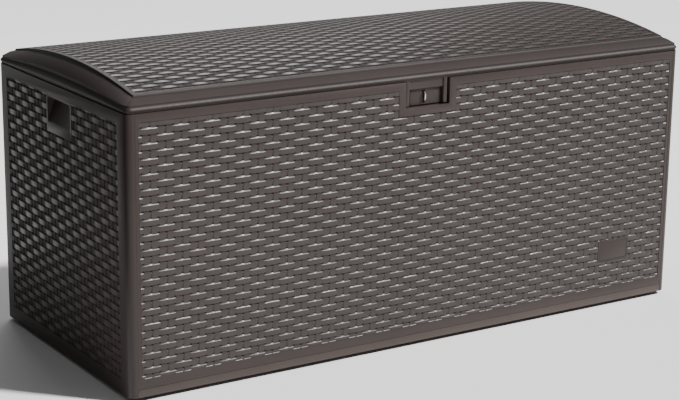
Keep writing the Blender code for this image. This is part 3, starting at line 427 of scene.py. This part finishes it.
def relief_sheet(name, u_span, v_span, v_offset, place, body, material=weave_resin, holes=(), on_lid=False):
    """A grid over a sunk field, raised to the wicker relief; place(u, v, height) gives its points."""
    u_lines, v_lines, cut_rows = sheet_lines(u_span, v_span, v_offset, holes, on_lid)
    u, v = np.meshgrid(u_lines, v_lines)
    fixed = np.zeros(u.shape, bool)
    fixed[[0, -1], :] = True
    for line in cut_rows:
        fixed |= np.abs(v - line) < 1e-7
    v = np.where(fixed, v, follow_strands(u, v - v_offset) + v_offset)
    depth_limit = climb(u, v, u_span, v_span, holes)
    height = np.maximum(wicker(u, v - v_offset), -depth_limit) - TOP_CLEAR
    points = np.stack(place(u, v, height), axis=-1).reshape(-1, 3)
    # painted shade at each point, stored in the relief attribute that darkens the wicker's colour
    shade = painted_relief_shade(v - v_offset, height, depth_limit, on_lid).reshape(-1)
    quads = sheet_quads(u_lines, v_lines, holes)
    used = np.unique(quads)
    number = np.full(len(points), -1)
    number[used] = np.arange(len(used))
    mesh = bpy.data.meshes.new(name)
    mesh.from_pydata(points[used].tolist(), [], number[quads].tolist())
    attribute = mesh.attributes.new("relief", "FLOAT", "POINT")
    attribute.data.foreach_set("value", shade[used].astype(np.float32))
    add_resin_piece(name, mesh, material, body, SMOOTH_ANGLE)


def dome(y):
    """Height of the dome above the lid's bottom edge, for a distance from the middle of the lid."""
    share = np.minimum(np.abs(y) / (HALF_DEPTH - DOME_INSET), 1.0)
    return LID_CROWN_RISE - (LID_CROWN_RISE - LID_EDGE_RISE) * share ** 2


def dome_place(u, v, height):
    tilt = v / DOME_RADIUS
    return u, MIDDLE_Y + v + height * np.sin(tilt), LID_FOOT + dome(v) + height * np.cos(tilt)


def make_sheets():
    """The woven sheets of the four walls and the lid, each in its sunk field."""
    long_u = (-HALF_LENGTH + LONG_SIDE + EDGE, HALF_LENGTH - LONG_SIDE - EDGE)
    long_v = (WALL_FOOT + LONG_FOOT + EDGE, SEAM_Z - LONG_HEAD - EDGE)
    end_u = (-HALF_DEPTH + END_SIDE + EDGE, HALF_DEPTH - END_SIDE - EDGE)
    end_v = (WALL_FOOT + END_FOOT + EDGE, SEAM_Z - END_HEAD - EDGE)
    lid_u = (-HALF_LENGTH + DOME_INSET + STRIP + EDGE, HALF_LENGTH - DOME_INSET - STRIP - EDGE)
    lid_v = (-HALF_DEPTH + DOME_INSET + STRIP + EDGE, HALF_DEPTH - DOME_INSET - STRIP - EDGE)
    pocket_u = POCKET_HALF + POCKET_PLAIN + EDGE
    pocket = ((-pocket_u, SEAM_Z - POCKET_HEIGHT - POCKET_PLAIN - EDGE), (pocket_u, SEAM_Z))
    badge_border = BADGE_PLAIN + EDGE
    badge = ((badge_low.x - badge_border, badge_low.z - badge_border),
             (badge_high.x + badge_border, badge_high.z + badge_border))
    scoop_u = SCOOP_HALF + SCOOP_SIDE + EDGE
    scoop = ((-scoop_u, SEAM_Z - (SCOOP_DROP + SCOOP_HEIGHT + SCOOP_FOOT) - EDGE), (scoop_u, SEAM_Z))

    relief_sheet(
        "front_wicker", long_u, long_v, ROW_PHASE,
        lambda u, v, height: (u, np.full_like(u, front_low.y) - height, v), "box", holes=(pocket, badge))
    relief_sheet(
        "back_wicker", long_u, long_v, ROW_PHASE,
        lambda u, v, height: (-u, np.full_like(u, back_high.y) + height, v), "box")
    relief_sheet(
        "left_end_wicker", end_u, end_v, ROW_PHASE,
        lambda u, v, height: (np.full_like(u, left_low.x) - height, MIDDLE_Y - u, v), "box",
        end_resin, holes=(scoop,))
    relief_sheet(
        "right_end_wicker", end_u, end_v, ROW_PHASE,
        lambda u, v, height: (np.full_like(u, right_high.x) + height, MIDDLE_Y + u, v), "box",
        end_resin, holes=(scoop,))
    relief_sheet("lid_wicker", lid_u, lid_v, -ROW / 2.0, dome_place, "lid", lit_lid_resin, on_lid=True)


make_sheets()

# ---------------------------------------------------------------- lid rim


def lid_outline(inset, end_steps=44, corner_steps=10, side_steps=24):
    """Rounded rectangle round the lid, seen from above, anticlockwise from its right front corner."""
    radius = max(LID_CORNER - inset, LID_LEAST_CORNER)
    middle_x, middle_y = HALF_LENGTH - inset - radius, HALF_DEPTH - inset - radius
    corners = ((middle_x, -middle_y, -90.0), (middle_x, middle_y, 0.0),
               (-middle_x, middle_y, 90.0), (-middle_x, -middle_y, 180.0))
    points = []
    for number, (x, y, start) in enumerate(corners):
        for step in range(corner_steps + 1):
            angle = math.radians(start + 90.0 * step / corner_steps)
            points.append((x + radius * math.cos(angle), y + radius * math.sin(angle)))
        next_x, next_y, _ = corners[(number + 1) % 4]
        angle = math.radians(start + 90.0)
        first = points[-1]
        last = (next_x + radius * math.cos(angle), next_y + radius * math.sin(angle))
        steps = end_steps if number % 2 == 0 else side_steps
        for step in range(1, steps):
            share = step / steps
            points.append((first[0] + (last[0] - first[0]) * share, first[1] + (last[1] - first[1]) * share))
    return points


def lid_ring(share, inset, lift):
    """Points round the lid, at a share of the rise to the dome there; inset and lift in mm."""
    outline = lid_outline(inset * MM)
    return [(x, MIDDLE_Y + y, LID_FOOT + share * float(dome(y)) + lift * MM) for x, y in outline]


def loft(bm, rings):
    """Quads between closed rings of points, all of one length; gives back the rings' vertices."""
    made = [[bm.verts.new(point) for point in ring] for ring in rings]
    for lower, upper in zip(made, made[1:]):
        for index in range(len(lower)):
            after = (index + 1) % len(lower)
            bm.faces.new((lower[index], lower[after], upper[after], upper[index]))
    return made


def make_lid_rim():
    """Bead, cove and strip round the dome, with the field's floor and a thin inner skin."""
    bm = bmesh.new()
    top = set(loft(bm, [lid_ring(*section) for section in RIM_PROFILE])[-1])
    top_edges = [edge for edge in bm.edges if edge.is_boundary and top.issuperset(edge.verts)]
    bmesh.ops.triangle_fill(bm, use_beauty=True, use_dissolve=False, edges=top_edges)
    loft(bm, [lid_ring(*section)[::-1] for section in INNER_PROFILE])
    bmesh.ops.remove_doubles(bm, verts=bm.verts, dist=0.01 * MM)
    bmesh.ops.recalc_face_normals(bm, faces=bm.faces)
    bm.normal_update()
    mesh = bpy.data.meshes.new("lid_rim_and_dome")
    bm.to_mesh(mesh)
    bm.free()
    rim = add_resin_piece("lid_rim_and_dome", mesh, shaded_rim_resin, "lid", RIM_SMOOTH_ANGLE)
    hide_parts("lid_shell")


make_lid_rim()

# ---------------------------------------------------------------- carried-over CAD pieces


def refine(name, material, bevel=0.0, segments=2, angle=30.0):
    """Gives a CAD node its finish, with small rounded edges where it has sharp ones; bevel in mm."""
    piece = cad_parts[name]
    piece.data.materials.clear()
    piece.data.materials.append(material)
    for polygon in piece.data.polygons:
        polygon.use_smooth = True
    weld = piece.modifiers.new("weld", "WELD")
    weld.merge_threshold = 0.02 * MM
    if bevel:
        edge = piece.modifiers.new("edges", "BEVEL")
        edge.width = bevel * MM
        edge.segments = segments
        edge.limit_method = "ANGLE"
        edge.angle_limit = math.radians(angle)
        edge.harden_normals = True
        edge.use_clamp_overlap = True
    split = piece.modifiers.new("split", "EDGE_SPLIT")
    split.split_angle = math.radians(angle)


refine("front_panel", plain_resin, 0.8)
refine("back_panel", plain_resin, 0.8)
refine("left_end_panel", plain_resin, 1.3, 3)
refine("right_end_panel", plain_resin, 1.3, 3)
refine("floor_panel", inside_resin, 0.8)
refine("lid_liner", inside_resin, 0.8)
refine("lid_hasp", plain_resin, 0.9, 3)
refine("lock_boss", plain_resin, 0.7, 3)
refine("badge_plate", plain_resin, 0.4)
refine("padlock_staple", bright_steel)
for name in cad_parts:
    if "screw" in name or name.endswith("_pin"):
        refine(name, bright_steel, 0.15)
    elif name.endswith("_leaf"):
        refine(name, bright_steel, 0.25)
    elif name.startswith("foot_"):
        refine(name, foot_rubber, 0.6)

# ---------------------------------------------------------------- floor, light and camera


def stage_plane(name, material, size, scale=(1.0, 1.0, 1.0), **placing):
    bpy.ops.mesh.primitive_plane_add(size=size, **placing)
    plane = bpy.context.object
    plane.name = name
    plane.scale = scale
    plane.data.materials.append(material)
    return plane


stage_plane("studio_floor", matte_material("studio_floor_white", 0.6, 0.78, 0.82, 0.9), 60.0)

# A black cloth beside the left end keeps the floor's bounce off it; it is not seen and casts no shadow
flag = stage_plane(
    "black_flag", matte_material("black_cloth", 60.0, 0.010, 0.016, 1.0), 1.0, scale=(1.3, 1.7, 1.0),
    location=(-1.25, 0.45, 0.65), rotation=(0.0, math.radians(90.0), 0.0))
flag.visible_camera = False
flag.visible_shadow = False

world = bpy.data.worlds.new("studio")
bpy.context.scene.world = world
world.use_nodes = True
world.node_tree.nodes["Background"].inputs["Color"].default_value = (1.0, 1.0, 1.0, 1.0)
world.node_tree.nodes["Background"].inputs["Strength"].default_value = 0.25


def add_light(name, kind, place, target, power, size=None, angle=None):
    light = bpy.data.lights.new(name, kind)
    light.energy = power
    if size:
        light.shape = "RECTANGLE"
        light.size, light.size_y = size
    if angle:
        light.angle = math.radians(angle)
    lamp = bpy.data.objects.new(name, light)
    lamp.location = place
    lamp.rotation_euler = (Vector(target) - Vector(place)).to_track_quat("-Z", "Y").to_euler()
    bpy.context.scene.collection.objects.link(lamp)


# The sun stands where the sloping upper edges of the level strands mirror it into the camera
add_light("overhead", "SUN", (2.0, -2.0, 3.0), (0.0, 0.0, 0.0), 7.5, angle=5.0)
add_light("back", "AREA", (0.9, 2.6, 2.6), (0.2, 0.0, 0.6), 46.0, size=(2.6, 1.6))

# Camera, with its place measured from the middle of the box's footprint
CAMERA_PLACE = (-2.3824, -3.6575, 1.4411)
CAMERA_LENS = 98.66
CAMERA_SENSOR = 36.0
YAW, PITCH, ROLL = math.radians(32.86), math.radians(15.03), math.radians(0.70)


def add_camera():
    camera = bpy.data.cameras.new("camera")
    camera.lens = CAMERA_LENS
    camera.sensor_width = CAMERA_SENSOR
    eye = bpy.data.objects.new("camera", camera)
    bpy.context.scene.collection.objects.link(eye)
    forward = Vector((math.sin(YAW) * math.cos(PITCH), math.cos(YAW) * math.cos(PITCH), -math.sin(PITCH)))
    level = Vector((math.cos(YAW), -math.sin(YAW), 0.0))
    upward = level.cross(forward)
    right = math.cos(ROLL) * level + math.sin(ROLL) * upward
    above = -math.sin(ROLL) * level + math.cos(ROLL) * upward
    turn = Matrix((right, above, -forward)).transposed().to_4x4()
    eye.matrix_world = Matrix.Translation(Vector(CAMERA_PLACE) + Vector((0.0, MIDDLE_Y, 0.0))) @ turn
    bpy.context.scene.camera = eye


add_camera()
